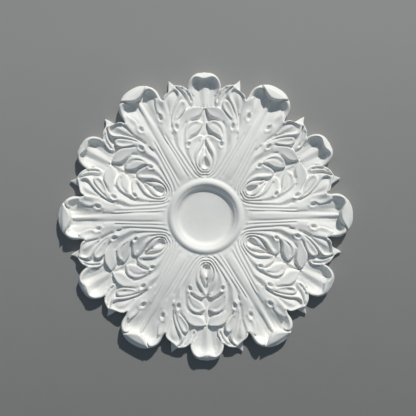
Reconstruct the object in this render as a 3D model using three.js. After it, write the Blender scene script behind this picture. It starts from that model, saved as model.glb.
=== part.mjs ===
// Ceiling rose: one casting, six long acanthus petals with six shorter ones between them,
// round a plain ring and a flat disc. It lies face up: the flat back is the plane z = 0,
// the ornament faces +Z, and the axis of the first long petal is +X.
import * as THREE from 'three';
import { mergeVertices } from 'three/addons/utils/BufferGeometryUtils.js';

// Driving dimensions, millimetres
const ROSE_DIAMETER = 600;
const PARTS_ACROSS = 294;
const PETAL_PAIRS = 6;
const TOP_TRIANGLES_PER_HALF_PETAL = 735;

// The ornament is drawn in parts, 294 to the diameter, and heights are in the same parts.
// Half a petal pair is drawn once: u runs across, v along the axis of the long petal, and the
// axis of the short petal is the ray 30 degrees away from it.
const PART = ROSE_DIAMETER / PARTS_ACROSS;
const HALF_SECTOR = Math.PI / PETAL_PAIRS;
const LONG_TIP = PARTS_ACROSS / 2;
const SHORT_TIP = 144;
const FACE_COLOUR = 0xe9eae6;
const FACE_ROUGHNESS = 0.85;

// Ring and disc: radius and height of the turned profile
const DISC_HEIGHT = 8.4;
const DISC_RADIUS = 24.4;
const RING_FOOT_RADIUS = 38.4;
const RING_FOOT_HEIGHT = 12.7;
const RING_PROFILE = [
  [0, DISC_HEIGHT], [DISC_RADIUS, DISC_HEIGHT], [25.6, 8.7], [27.6, 10.1], [29.2, 12.3], [31.2, 13.8],
  [33.6, 15.05], [35.4, 14.7], [37, 13.6], [RING_FOOT_RADIUS, RING_FOOT_HEIGHT],
];

// The carving: each ridge, groove, edge and foot of a step is a line of [u, v, height]
const LINES = {
  stemMiddle: [
    [0, 42, 13.4], [0, 47, 14.4], [0, 54, 14.9], [0, 64, 15], [0, 72, 14.8], [0, 80, 14.1],
    [0, 90, 12.7], [0, 100, 11.3], [0, 110, 9.6], [0, 118, 7.9], [0, 124, 6.9], [0, 129, 6.9],
    [0, 132.6, 8.2],
  ],
  stemFoot: [
    [5.3, 43, 13.1], [5, 50, 13.5], [4.7, 60, 13.8], [4.5, 70, 13.7], [4.2, 80, 13.1], [3.9, 90, 11.9],
    [3.9, 97, 11], [3.9, 103, 9.8], [3.5, 109, 8.3], [3, 115, 6.9], [2.6, 121, 5.7], [2.5, 127, 4.9],
    [2.5, 132.2, 4.9],
  ],
  bowlFloor: [[6.2, 112, 8.1], [6.4, 118, 6.7], [6.6, 124, 5.3], [6.8, 130, 4.4], [6.6, 134.4, 4.5]],
  bowlSide: [
    [11.4, 116.4, 8.7], [12.6, 120.6, 8], [14.2, 123.6, 7.4], [15, 127.2, 6.8], [14, 131.4, 6],
    [11.6, 134.1, 5.8],
  ],
  stemRidge2: [
    [12.6, 38, 13.3], [11, 42, 13.8], [10, 48, 14.2], [9.3, 55, 14.5], [9.1, 62, 14.6], [8.8, 70, 14.4],
    [8.4, 78, 14.1], [8.5, 85, 13.6], [8.6, 91, 12.9], [8.8, 97, 12.3], [10, 102, 11.8],
  ],
  stemGroove2: [
    [15.4, 36.5, 12.4], [13.2, 40, 12.5], [12, 45.4, 12.9], [11.5, 51, 13.1], [11.2, 57, 13.3],
    [11, 63, 13.4], [10.4, 69, 13.4], [10.1, 74, 13.2], [10.7, 79, 12.6], [11.8, 84, 11.8],
    [12.9, 88, 11.1], [13.3, 92, 10.6], [13.6, 96, 10], [14.6, 100, 9.5], [15.8, 103, 9.2],
    [17, 106.5, 9.1], [17.6, 110, 9.1],
  ],
  stemRidge3: [
    [17.6, 35.4, 13.3], [15.4, 38.9, 13.5], [14.1, 44, 13.9], [13.6, 50, 14.2], [13.3, 56, 14.4],
    [13.1, 63, 14.5], [12.7, 69, 14.4], [13, 74, 14.3], [14.6, 78, 14.1], [16.8, 82, 13.9],
    [17.9, 85.5, 13.6], [17.6, 89, 13.2], [17.4, 92, 12.6], [19.4, 95.4, 12], [22.8, 99.2, 11.4],
  ],
  stemGroove3: [
    [20.8, 36.1, 12.3], [16.7, 37.6, 12.3], [15.2, 41, 12.5], [15.2, 47, 12.9], [15, 53, 13.1],
    [14.7, 59, 13.2], [14.9, 64, 13], [15.6, 67.4, 12.6], [16.5, 70.6, 12.1], [17.9, 73.6, 11.7],
    [19.7, 76.6, 11.2], [21.7, 79.6, 10.8], [23.7, 82.6, 10.4], [26, 86, 10], [28.7, 88.9, 9.5],
    [31.6, 91.2, 9.1],
  ],
  stemRidge4: [
    [21.4, 37, 13.5], [18, 38.8, 13.5], [16.5, 43, 13.8], [16.5, 49, 14.1], [16.8, 55, 14.3],
    [17.7, 60, 14.4], [18.9, 64, 14.5], [20.3, 67, 14.4],
  ],
  stemGroove4: [
    [22, 38.1, 12.2], [19, 39.9, 12.2], [17.7, 44, 12.4], [17.8, 49, 12.7], [18.8, 54, 12.8],
    [20.4, 58, 12.7], [23, 61.2, 12.2], [26.4, 63.9, 11.4], [30, 66.1, 10.5], [33.4, 67.8, 9.8],
  ],
  thirdLeafCrest: [
    [22.5, 39, 13.7], [20.1, 40.7, 13.7], [18.9, 44.6, 13.9], [19.1, 49, 14.1], [20.7, 53, 14.3],
    [22.8, 56.6, 14.4], [25.2, 59.7, 14.3], [28.2, 62.2, 13.5], [31.6, 64.6, 12.5], [35, 66.7, 11.5],
    [37.6, 68, 10.6],
  ],
  thirdLeafUnderEdge: [
    [24.2, 57.4, 13.9], [26.4, 59.4, 13.8], [29, 60.9, 13.4], [32, 62.8, 12.6], [35, 65.2, 11.7],
    [37.7, 67.7, 10.8],
  ],
  thirdLeafUnderFoot: [
    [25, 56.6, 12], [27.2, 58.5, 10.8], [29.8, 59.8, 9.6], [32.7, 61.7, 8.8], [35.6, 64.1, 8.3],
    [38.4, 66.8, 8],
  ],
  innerGroove: [
    [22.9, 39.7, 12.1], [20.9, 41.4, 12.1], [19.9, 45, 12.3], [20.4, 49.2, 12.5], [22.3, 52.8, 12.3],
    [25, 55.4, 11.7], [28.2, 57.5, 10.7], [31.2, 59.2, 9.7],
  ],
  innerLeafCrest: [
    [23.4, 40.6, 13.8], [21.9, 42.4, 13.8], [21.1, 45.4, 13.9], [21.8, 48.8, 14], [24, 51.8, 13.9],
    [27, 53.9, 13.5], [30, 56, 12.8], [32.1, 58, 11.8], [33.3, 60, 10.8],
  ],
  thirdLobeCrest: [
    [22.6, 72.3, 13.2], [25, 72, 13], [28.6, 72.4, 12.3], [32, 72.7, 11.5], [35, 72.4, 10.8],
    [37.2, 71.2, 10.4], [38, 69.6, 10],
  ],
  thirdLobeFoot: [
    [23.4, 73.5, 11], [26, 74.2, 9.8], [30, 74.5, 8.4], [34, 74.4, 7.4], [37, 73.4, 6.9],
    [39.4, 70.6, 6.9],
  ],
  secondLowCrest: [
    [20.8, 72.8, 13.5], [22.6, 75.6, 13.2], [24.2, 78.6, 12.8], [26.4, 82, 12.3], [29.6, 85.2, 11.9],
    [33.2, 87.3, 11.7], [36.6, 88, 11.3], [39.6, 87.2, 10.8], [42.4, 84.8, 10.1], [44.4, 82, 9.4],
  ],
  secondLowUnder: [
    [22.4, 73.4, 13.2], [24.6, 75.3, 12.9], [28, 76.6, 12.4], [32, 77, 11.6], [36, 77, 10.9],
    [39.8, 78.3, 10.2], [42.8, 80.3, 9.7], [44.6, 81.8, 9.3],
  ],
  secondLowFoot: [
    [25, 74.5, 10.6], [28.4, 75.7, 9.2], [32, 76.1, 8.2], [36.2, 76.1, 7.3], [40.2, 77.4, 6.7],
    [43.4, 79.4, 6.3], [45.6, 81.4, 6.2],
  ],
  secondLowTopFoot: [[34, 89.2, 9.4], [37, 89.2, 8.2], [40.2, 88.2, 6.8], [43.2, 86, 5.8], [45.6, 83, 5.6]],
  secondPit: [[40.8, 89.1, 6.8], [43.6, 87.8, 5.4], [46.6, 87.2, 5.2], [48.6, 88.2, 5.4]],
  secondHighTop: [
    [24, 94.9, 10.7], [27.6, 95.9, 10.7], [31.2, 97.2, 10.8], [34.4, 99.2, 10.9], [38, 100.6, 10.9],
    [42, 100.7, 10.7], [46, 99.5, 10.3], [49.6, 97.4, 9.7], [52.6, 95, 8.9],
  ],
  secondHighLow: [
    [26.2, 89, 10.7], [29.4, 91, 10.3], [33, 92, 10.2], [37, 91.6, 10.1], [41, 90.6, 9.9],
    [45, 90.2, 9.6], [49, 91.8, 9.2], [52.6, 95, 8.9],
  ],
  secondHighLowFoot: [
    [38, 90.2, 8.4], [41.6, 89.4, 7.2], [45.4, 88.9, 6], [49.8, 90.4, 5.5], [53.4, 93.6, 5.4],
  ],
  secondHighTopFoot: [
    [36.4, 101.3, 8], [40, 101.9, 7], [44, 101.6, 6.3], [47.6, 99.8, 5.7], [50.8, 97.6, 5.4],
    [53.4, 95.6, 5.3],
  ],
  firstLowUnder: [
    [22, 95.6, 11.5], [25, 97.6, 11.3], [29, 99.3, 11.2], [33, 100.8, 11.2], [36.4, 102.5, 11.3],
    [39, 104.9, 11.1], [40.5, 108.2, 10.2],
  ],
  firstLowFoot: [
    [25.6, 96.6, 9.4], [29.4, 98.3, 8.6], [33.4, 99.8, 8.2], [37, 101.6, 7.6], [39.9, 104.2, 6.6],
    [41.6, 107.4, 6], [41.5, 110.4, 5.8], [39.8, 112.4, 6.4],
  ],
  firstLowTop: [
    [22.8, 99.2, 11.4], [26.2, 102.8, 10.9], [29.8, 105.8, 10.8], [33.6, 108.8, 10.8],
    [37, 110.7, 10.6], [39.6, 110.4, 10.3], [40.5, 108.2, 10.2],
  ],
  firstFoldRidge: [
    [17.6, 95.4, 11.8], [19.1, 98.2, 11.3], [20.9, 100.9, 11.1], [23.2, 103.8, 11.1],
    [26.1, 106.8, 11.2], [29.2, 109.6, 11.4], [32.4, 112, 11.4], [35.8, 113.9, 11.2],
    [38.6, 116.2, 11.2], [39.9, 119, 11], [39.8, 122, 10.5], [39, 125, 10.1], [38.3, 127.3, 9.8],
  ],
  firstSpoonGroove: [
    [14.9, 92.6, 10.7], [16.8, 96.6, 9.6], [18.6, 100, 9], [20.7, 103.4, 8.8], [23.6, 106.7, 8.8],
    [26.9, 109.8, 8.8], [30.5, 112.8, 8.8], [34.1, 115.5, 8.5], [36.9, 118, 8], [38, 120.7, 7.6],
    [37.6, 123, 7.9],
  ],
  spoonStem: [
    [11.4, 84, 13.1], [12.9, 90.6, 12.3], [14.2, 95.6, 11.5], [16.1, 100, 11.2], [17.8, 103.2, 11.1],
    [19, 106.4, 11.1], [20, 110, 11.3], [20.6, 113.4, 11.6], [21, 116.6, 12.1], [21.3, 119.6, 12.8],
  ],
  spoonLeftGroove: [
    [21.4, 107.6, 9.9], [22.3, 111.6, 9.9], [23.2, 115.6, 10.1], [24.3, 119, 10.4], [26, 121.6, 10.5],
    [29, 123, 10.1], [32.6, 123.8, 9.2], [36, 124, 8.3], [37.6, 123, 7.9],
  ],
  spoonRim: [
    [22, 119.6, 12.9], [23, 121.4, 13.2], [25, 123, 13.2], [28, 124.4, 12.7], [31.6, 125.2, 11.8],
    [35, 125.9, 10.8], [38.3, 127.3, 9.9],
  ],
  leafletEdge: [
    [14.4, 104.6, 11.1], [14.1, 108, 10.9], [12.9, 111.4, 10.8], [12, 114.4, 10.5], [12.4, 117.6, 10.3],
    [13.7, 121, 10.4], [15.3, 124, 10.7], [16.9, 126.4, 11.4],
  ],
  leafletFoot: [
    [11.7, 111.6, 9.5], [11.1, 114.6, 9.2], [11.5, 117.8, 8.9], [12.8, 121.4, 8.5], [14.5, 124.2, 8.4],
    [16, 126, 8.8],
  ],
  foldFloor: [
    [42.6, 104.4, 6.8], [43, 109, 6.4], [43, 114, 6.1], [42.4, 119, 6.1], [41.4, 123, 6.3],
    [40.2, 126, 6.8],
  ],
  foldRim: [
    [45.6, 103.6, 8], [48, 105.6, 7.9], [49.1, 109, 8.1], [49.4, 113, 8.5], [49.2, 117, 9.1],
    [48, 120.6, 9.7], [45.6, 123.4, 9.9], [42.4, 125.8, 9.7], [39.6, 127.5, 9.2],
  ],
  foldOuterFoot: [
    [45.4, 102, 6.6], [48.4, 104.2, 5.9], [50.2, 108, 5.6], [50.5, 112, 5.7], [50.4, 114.4, 5.9],
  ],
  thornRidge: [[37.2, 136.2, 3.2], [36.9, 132, 4.8], [36.8, 128.4, 6.4]],
  longLipEdge: [
    [0, 134.6, 14.7], [3, 135.1, 14.9], [6, 136.4, 14.9], [8.8, 138.1, 14.6], [11.4, 140.1, 14],
    [14, 142, 12.7],
  ],
  longLipFoot: [[0, 133.6, 6.6], [3.4, 134.1, 5.8], [6.7, 135.5, 5.8], [9.4, 137.2, 6.6]],
  longLipNick: [[9.4, 137.2, 6.6], [11.6, 138.9, 8.6], [14.4, 140.7, 9.6], [16.6, 141, 9.4]],
  longLipCorner: [
    [11.2, 137.3, 11.4], [13, 138.4, 13.2], [15.4, 138.6, 14], [17.7, 136, 13.6], [19, 132.8, 12.2],
    [19.5, 129, 11.2], [19.4, 125.4, 11.2], [19.9, 121.8, 12], [20.9, 119.6, 12.5],
  ],
  longWallFoot: [
    [12.2, 136.4, 8.6], [14.2, 135.6, 8.6], [16.2, 133, 8.6], [17.4, 129.6, 8.9], [17.5, 126.6, 9.1],
  ],
  longLipRoll: [[0, 141.6, 13.6], [5, 141.4, 13.6], [9.4, 141.6, 13.2], [12.6, 142.2, 12.4]],
};

// Lines of the short petal, as [across, along, height] on its own axis
const SHORT_LINES = {
  shortRib: [
    [0, 62, 10.4], [0, 67, 9.5], [0, 72, 8.7], [0, 78, 8.0], [0, 84, 7.5], [0, 92, 7.1], [0, 102, 7.0],
    [0, 112, 6.9], [0, 120, 6.4], [0, 127, 5.9], [0, 132, 5.9], [0, 134.6, 6.8],
  ],
  shortRibFoot: [
    [3.8, 110, 6.2], [4.3, 115, 5.5], [5, 121, 4.7], [5.7, 127, 3.9], [6.2, 132, 3.5],
    [6.4, 135.2, 4.4],
  ],
  shortBowlMiddle: [[7.4, 111, 6.2], [8.8, 117, 5.7], [9.6, 124, 5.2], [9.6, 130, 4.8]],
  shortLipEdge: [[0, 137, 13.2], [4, 138.1, 13.4], [7.8, 139.4, 13.3]],
  shortLipFoot: [[0, 135.8, 7.4], [4.4, 136.8, 6.6], [8.2, 137.6, 7.4]],
  shortLipCorner: [
    [7.8, 139.4, 13.3], [10.6, 138.4, 13], [13, 136, 12.2], [14.8, 132.8, 10.6], [15.8, 129.8, 9.6],
    [16.3, 127.2, 9], [16.2, 124, 8.8],
  ],
  shortWallFoot: [
    [8.2, 137.6, 7.8], [10.2, 136, 8.6], [12, 133.6, 8.6], [13.3, 130.4, 8.3], [13.8, 127, 8],
    [13.4, 123.2, 7.7],
  ],
  shortLedgeFoot: [
    [11.2, 120.4, 6.8], [12.2, 124, 6.8], [12.4, 128, 6.7], [11.4, 131.8, 6.4], [9.2, 134.6, 6],
  ],
  shortLipRoll: [
    [0, 141.4, 11.9], [4, 141.3, 11.9], [8.6, 140.8, 11.9], [12.2, 138.9, 11.6], [15, 136, 10.9],
    [16.9, 132.6, 9.9], [17.6, 130, 9.2],
  ],
};

// Drilled eyes between the lobes: centre, half width, half length, lean from the axis, depth
const EYES = [
  { u: 11.4, v: 107.4, halfWidth: 1.8, halfLength: 2.9, lean: 16, depth: 3 },
  { u: 20.4, v: 91.2, halfWidth: 1.7, halfLength: 2.9, lean: 24, depth: 3 },
  { u: 21.9, v: 70.3, halfWidth: 1.5, halfLength: 2.4, lean: 40, depth: 2.8 },
  { u: 46.9, v: 108.4, halfWidth: 0.9, halfLength: 2.2, lean: 4, depth: 1.2 },
];
const EYE_FLAT_SHARE = 0.35;

// Teardrop on the axis of the short petal: half width by distance from the centre, and depth
const TEARDROP_WIDTHS = [
  [47, 0.1], [47.3, 1.9], [48.4, 3.7], [50.6, 4.6], [53.4, 4.1], [56.2, 2.8], [58.8, 1.4], [60.8, 0.2],
];
const TEARDROP_CENTRE = 51.4;
const TEARDROP_DEPTH = 4.6;
const TEARDROP_SECTION = 0.7;
const TEARDROP_LENGTHWAYS = 0.6;

// Outline of the half sector as [u, v, height of the rim], from the long tip to the short tip
const OUTLINE = [
  [0, LONG_TIP, 8.8], [5, 146.7, 8.8], [10, 145.4, 8.8], [15, 142.4, 8.8], [18, 139.6, 8.8],
  [20.4, 136, 8.8], [21.6, 132, 9.0], [21.5, 128, 9.8], [21.2, 124, 11.0], [22, 120.6, 12.0],
  [24.5, 123.6, 11.6], [27, 125, 10.8], [31, 126.2, 7.8], [34.4, 132, 4.0], [37.2, 136.2, 3.0],
  [38.4, 132.6, 4.0], [39.8, 129.2, 5.8], [42.4, 127.2, 7.4], [45.2, 125, 8.0], [47.6, 121.8, 8.2],
  [49.3, 118.6, 7.8], [50.6, 121, 7.8], [52.8, 123.6, 7.8], [56, 126.1, 8.0], [61, 127.8, 8.2],
  [66, 127.3, 8.4], [69.6, 125.6, 8.4],
  [SHORT_TIP * Math.sin(HALF_SECTOR), SHORT_TIP * Math.cos(HALF_SECTOR), 8.4],
];
const BACK_TUCK = 0.991;

// The skin between the lines is solved on a grid of bearings and logarithms of the radius
const GRID_ACROSS = 128;
const GRID_LEVELS = 5;
const GRID_SWEEPS = 60;
const GRID_OUTER_RADIUS = 150;
const START_HEIGHT = 9;
const LINE_DOT_GAP = 0.25;
const LINE_PULL = 30;
const OVER_RELAXATION = 1.7;

// Places where the mesh is tested against the skin, and their clearance from its edges
const TEST_PITCH = 0.9;
const ROW_SHIFT = 0.618;
const LINE_TEST_PITCH = 1.1;
const OUTLINE_CLEARANCE = 0.8;
const AXIS_CLEARANCE = 1.3;
const RING_CLEARANCE = 1.6;
const AXIS_RADII = [
  41.7, 44, 47, 50, 54, 58, 62, 67, 73, 80, 88, 95, 102, 108, 114, 119, 124, 128, 131, 133.6, 134.9, 137,
  139.5, 142,
];
const RING_BEARINGS = 5;

// Pieces between two stations of a smooth line and of a table
const LINE_PIECES = 6;
const TABLE_PIECES = 8;

// The triangulation starts from one triangle far outside the drawing
const HULL = [[-2000, -2000, 0], [2000, -2000, 0], [0, 3000, 0]];
const NEARLY_NOTHING = 1e-9;
const SAME_PLACE = 1e-6;
const LEAST_AREA = 1e-3;
const WELD_DISTANCE = 1e-3;

function ease(from, to, x) {
  const t = THREE.MathUtils.clamp((x - from) / (to - from), 0, 1);
  return t * t * (3 - 2 * t);
}

// A smooth line through the stations, with tangents weighted by the spacing
function smoothLine(stations, steps = LINE_PIECES) {
  const gap = [];
  for (let i = 0; i + 1 < stations.length; i += 1) {
    const [a, b] = [stations[i], stations[i + 1]];
    gap.push(Math.sqrt(Math.hypot(b[0] - a[0], b[1] - a[1])));
  }
  const last = stations.length - 1;
  const slope = (i, k) => (stations[i + 1][k] - stations[i][k]) / gap[i];
  const tangent = (i, k) => {
    if (i === 0) return slope(0, k);
    if (i === last) return slope(last - 1, k);
    return (slope(i, k) * gap[i - 1] + slope(i - 1, k) * gap[i]) / (gap[i - 1] + gap[i]);
  };
  const line = [];
  for (let i = 0; i < last; i += 1) {
    for (let j = 0; j < steps; j += 1) {
      const t = j / steps;
      const [t2, t3] = [t * t, t * t * t];
      line.push(stations[i].map((value, k) => (
        (2 * t3 - 3 * t2 + 1) * value
        + (t3 - 2 * t2 + t) * gap[i] * tangent(i, k)
        + (3 * t2 - 2 * t3) * stations[i + 1][k]
        + (t3 - t2) * gap[i] * tangent(i + 1, k)
      )));
    }
  }
  line.push([...stations[last]]);
  return line;
}

// A function of one variable, smooth through its [x, value] pairs
function smoothTable(pairs) {
  const line = smoothLine(pairs.map(([x, value]) => [x, 0, value]), TABLE_PIECES);
  return (x) => {
    if (x <= line[0][0]) return line[0][2];
    const next = line.findIndex((row) => row[0] >= x);
    if (next < 0) return line[line.length - 1][2];
    const [a, b] = [line[next - 1], line[next]];
    return a[2] + ((b[2] - a[2]) * (x - a[0])) / (b[0] - a[0]);
  };
}

function inside(loop, u, v) {
  let within = false;
  for (let i = 0, j = loop.length - 1; i < loop.length; j = i, i += 1) {
    const [[ui, vi], [uj, vj]] = [loop[i], loop[j]];
    if ((vi > v) !== (vj > v) && u < ((uj - ui) * (v - vi)) / (vj - vi) + ui) within = !within;
  }
  return within;
}

function distanceTo(path, u, v) {
  let best = Infinity;
  for (let i = 0; i + 1 < path.length; i += 1) {
    const [a, b] = [path[i], path[i + 1]];
    const [du, dv] = [b[0] - a[0], b[1] - a[1]];
    const along = ((u - a[0]) * du + (v - a[1]) * dv) / (du * du + dv * dv);
    const t = THREE.MathUtils.clamp(along, 0, 1);
    best = Math.min(best, Math.hypot(u - a[0] - t * du, v - a[1] - t * dv));
  }
  return best;
}

// Points along a path at even steps, ends kept
function resample(path, step) {
  const reach = [0];
  for (let i = 1; i < path.length; i += 1) {
    reach.push(reach[i - 1] + Math.hypot(path[i][0] - path[i - 1][0], path[i][1] - path[i - 1][1]));
  }
  const length = reach[reach.length - 1];
  const count = Math.max(Math.round(length / step), 1);
  const points = [];
  for (let n = 0, i = 0; n <= count; n += 1) {
    const at = (length * n) / count;
    while (i + 2 < reach.length && reach[i + 1] < at) i += 1;
    const t = THREE.MathUtils.clamp((at - reach[i]) / (reach[i + 1] - reach[i]), 0, 1);
    points.push(path[i].map((value, k) => value + (path[i + 1][k] - value) * t));
  }
  return points;
}

function fromShortAxis([across, along, height]) {
  return [
    along * Math.sin(HALF_SECTOR) - across * Math.cos(HALF_SECTOR),
    along * Math.cos(HALF_SECTOR) + across * Math.sin(HALF_SECTOR),
    height,
  ];
}

const carvingLines = [
  ...Object.values(LINES).map((stations) => smoothLine(stations)),
  ...Object.values(SHORT_LINES).map((stations) => smoothLine(stations).map(fromShortAxis)),
];

// A skin stretched over the lines: between them every height is the mean of those around it
class Skin {
  constructor(lines) {
    this.step = HALF_SECTOR / GRID_ACROSS;
    this.dots = lines.flatMap((line) => resample(line, LINE_DOT_GAP));
    const block = 2 ** (GRID_LEVELS - 1);
    const rings = Math.log(GRID_OUTER_RADIUS / RING_FOOT_RADIUS) / this.step;
    this.rings = Math.ceil(rings / block) * block;
    let coarse = null;
    for (let stride = block; stride >= 1; stride /= 2) {
      const grid = this.pinGrid(stride);
      this.relax(grid, coarse);
      coarse = grid;
    }
    this.grid = coarse;
  }

  place(u, v, stride = 1) {
    const ring = Math.log(Math.hypot(u, v) / RING_FOOT_RADIUS) / (this.step * stride);
    return [ring, Math.atan2(u, v) / (this.step * stride)];
  }

  // Pull and height of the lines on the grid's nodes
  pinGrid(stride) {
    const rows = this.rings / stride + 1;
    const columns = GRID_ACROSS / stride + 1;
    const pull = new Float64Array(rows * columns);
    const pinned = new Float64Array(rows * columns);
    for (const [u, v, height] of this.dots) {
      const [ring, turn] = this.place(u, v, stride);
      if (ring < 0 || ring > rows - 1 || turn < -SAME_PLACE || turn > columns - 1 + SAME_PLACE) continue;
      const i = Math.min(Math.floor(ring), rows - 2);
      const j = Math.max(Math.min(Math.floor(turn), columns - 2), 0);
      for (const [di, dj] of [[0, 0], [0, 1], [1, 0], [1, 1]]) {
        const weight = (1 - Math.abs(ring - i - di)) * (1 - Math.abs(turn - j - dj));
        const node = (i + di) * columns + j + dj;
        pull[node] += weight;
        pinned[node] += weight * height;
      }
    }
    for (let node = 0; node < pull.length; node += 1) {
      if (pull[node] > 0) pinned[node] /= pull[node];
      pull[node] = Math.min(pull[node], 1) * LINE_PULL;
    }
    return { rows, columns, pull, pinned, heights: new Float64Array(rows * columns) };
  }

  relax(grid, coarse) {
    const { rows, columns, pull, pinned, heights } = grid;
    heights.fill(START_HEIGHT);
    if (coarse) {
      for (let i = 0; i < rows; i += 1) {
        for (let j = 0; j < columns; j += 1) heights[i * columns + j] = Skin.between(coarse, i / 2, j / 2);
      }
    }
    heights.fill(RING_FOOT_HEIGHT, 0, columns);
    const back = (index, count) => (index < count ? index : 2 * (count - 1) - index);
    for (let sweep = 0; sweep < GRID_SWEEPS; sweep += 1) {
      for (let i = 1; i < rows; i += 1) {
        const [inner, outer] = [(i - 1) * columns, back(i + 1, rows) * columns];
        for (let j = 0; j < columns; j += 1) {
          const node = i * columns + j;
          const around = heights[inner + j] + heights[outer + j]
            + heights[i * columns + Math.abs(j - 1)] + heights[i * columns + back(j + 1, columns)];
          const target = (around + pull[node] * pinned[node]) / (4 + pull[node]);
          heights[node] += OVER_RELAXATION * (target - heights[node]);
        }
      }
    }
  }

  // Height between four nodes of a grid
  static between({ rows, columns, heights }, ring, turn) {
    const i = Math.min(Math.max(Math.floor(ring), 0), rows - 2);
    const j = Math.min(Math.max(Math.floor(turn), 0), columns - 2);
    const [fi, fj] = [THREE.MathUtils.clamp(ring - i, 0, 1), THREE.MathUtils.clamp(turn - j, 0, 1)];
    const at = (di, dj) => heights[(i + di) * columns + j + dj];
    return (at(0, 0) * (1 - fj) + at(0, 1) * fj) * (1 - fi) + (at(1, 0) * (1 - fj) + at(1, 1) * fj) * fi;
  }

  heightAt(u, v) {
    return Skin.between(this.grid, ...this.place(u, v));
  }
}

function eyeHeight(eye, u, v) {
  const lean = THREE.MathUtils.degToRad(eye.lean);
  const across = (u - eye.u) * Math.cos(lean) - (v - eye.v) * Math.sin(lean);
  const along = (u - eye.u) * Math.sin(lean) + (v - eye.v) * Math.cos(lean);
  const q = Math.hypot(across / eye.halfWidth, along / eye.halfLength);
  return -eye.depth * (1 - ease(EYE_FLAT_SHARE, 1, q));
}

const ringAt = smoothTable(RING_PROFILE);
const teardropAt = smoothTable(TEARDROP_WIDTHS);
const skin = new Skin([...carvingLines, OUTLINE]);

function teardropHeight(along, across) {
  const first = TEARDROP_WIDTHS[0][0];
  const last = TEARDROP_WIDTHS[TEARDROP_WIDTHS.length - 1][0];
  if (along <= first || along >= last) return 0;
  const q = Math.abs(across) / teardropAt(along);
  if (q >= 1) return 0;
  const reach = along < TEARDROP_CENTRE ? TEARDROP_CENTRE - first : last - TEARDROP_CENTRE;
  const s = Math.min(((along - TEARDROP_CENTRE) / reach) ** 2, 1);
  return -TEARDROP_DEPTH * (1 - q * q) ** TEARDROP_SECTION * (1 - s) ** TEARDROP_LENGTHWAYS;
}

// Height of the ornament above the back, in parts, anywhere in the half sector
function faceHeight(u, v) {
  const r = Math.hypot(u, v);
  if (r < RING_FOOT_RADIUS) return ringAt(r);
  const bearing = Math.atan2(u, v);
  const along = r * Math.cos(bearing - HALF_SECTOR);
  const across = r * Math.sin(bearing - HALF_SECTOR);
  let height = skin.heightAt(u, v) + teardropHeight(along, across);
  for (const eye of EYES) height += eyeHeight(eye, u, v);
  return height;
}

// Triangulation of the half sector. Points go in one at a time and every triangle's circle
// stays empty; each triangle keeps the test places that it covers, with the worst error.
class Triangulation {
  constructor(testPlaces) {
    this.points = HULL.map((corner) => [...corner]);
    this.triangles = new Map();
    this.nextKey = 0;
    this.addTriangle(0, 1, 2, testPlaces);
  }

  addTriangle(a, b, c, places) {
    const [[ax, ay], [bx, by], [cx, cy]] = [a, b, c].map((i) => this.points[i]);
    const d = 2 * (ax * (by - cy) + bx * (cy - ay) + cx * (ay - by));
    const [a2, b2, c2] = [ax * ax + ay * ay, bx * bx + by * by, cx * cx + cy * cy];
    const x = (a2 * (by - cy) + b2 * (cy - ay) + c2 * (ay - by)) / d;
    const y = (a2 * (cx - bx) + b2 * (ax - cx) + c2 * (bx - ax)) / d;
    const triangle = { corners: [a, b, c], x, y, r2: (ax - x) ** 2 + (ay - y) ** 2, places: [] };
    this.triangles.set(this.nextKey, triangle);
    this.nextKey += 1;
    const rest = [];
    for (const place of places) {
      if (this.covers(triangle, place)) triangle.places.push(place);
      else rest.push(place);
    }
    this.grade(triangle);
    return rest;
  }

  covers(triangle, [u, v]) {
    const [p, q, s] = triangle.corners.map((i) => this.points[i]);
    const turn = (a, b) => (b[0] - a[0]) * (v - a[1]) - (b[1] - a[1]) * (u - a[0]);
    return [turn(p, q), turn(q, s), turn(s, p)].every((side) => side >= -NEARLY_NOTHING);
  }

  grade(triangle) {
    const [p, q, s] = triangle.corners.map((i) => this.points[i]);
    const area = (q[0] - p[0]) * (s[1] - p[1]) - (q[1] - p[1]) * (s[0] - p[0]);
    triangle.error = 0;
    triangle.worst = null;
    if (triangle.corners.some((i) => i < HULL.length)) return;
    for (const place of triangle.places) {
      const [u, v, height] = place;
      const b = ((u - p[0]) * (s[1] - p[1]) - (v - p[1]) * (s[0] - p[0])) / area;
      const c = ((q[0] - p[0]) * (v - p[1]) - (q[1] - p[1]) * (u - p[0])) / area;
      const error = Math.abs(p[2] + b * (q[2] - p[2]) + c * (s[2] - p[2]) - height);
      if (error > triangle.error) {
        triangle.error = error;
        triangle.worst = place;
      }
    }
  }

  insert(u, v, height) {
    if (this.points.some(([x, y]) => Math.hypot(x - u, y - v) < SAME_PLACE)) return;
    const index = this.points.push([u, v, height]) - 1;
    const edges = new Map();
    const places = [];
    for (const [key, triangle] of this.triangles) {
      const gap = (u - triangle.x) ** 2 + (v - triangle.y) ** 2 - triangle.r2;
      if (gap > -NEARLY_NOTHING * Math.max(triangle.r2, 1)) continue;
      const [a, b, c] = triangle.corners;
      for (const [from, to] of [[a, b], [b, c], [c, a]]) {
        if (!edges.delete(`${to},${from}`)) edges.set(`${from},${to}`, [from, to]);
      }
      places.push(...triangle.places);
      this.triangles.delete(key);
    }
    let rest = places;
    for (const [from, to] of edges.values()) {
      const [[ax, ay], [bx, by]] = [this.points[from], this.points[to]];
      const turn = (bx - ax) * (v - ay) - (by - ay) * (u - ax);
      if (turn > NEARLY_NOTHING) rest = this.addTriangle(from, to, index, rest);
    }
  }

  worstPlace() {
    let worst = null;
    for (const triangle of this.triangles.values()) {
      if (triangle.worst && (!worst || triangle.error > worst.error)) worst = triangle;
    }
    return worst ? worst.worst : null;
  }
}

function alongRay(bearing, radii) {
  return radii.map((r) => [r * Math.sin(bearing), r * Math.cos(bearing)]);
}

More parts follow.
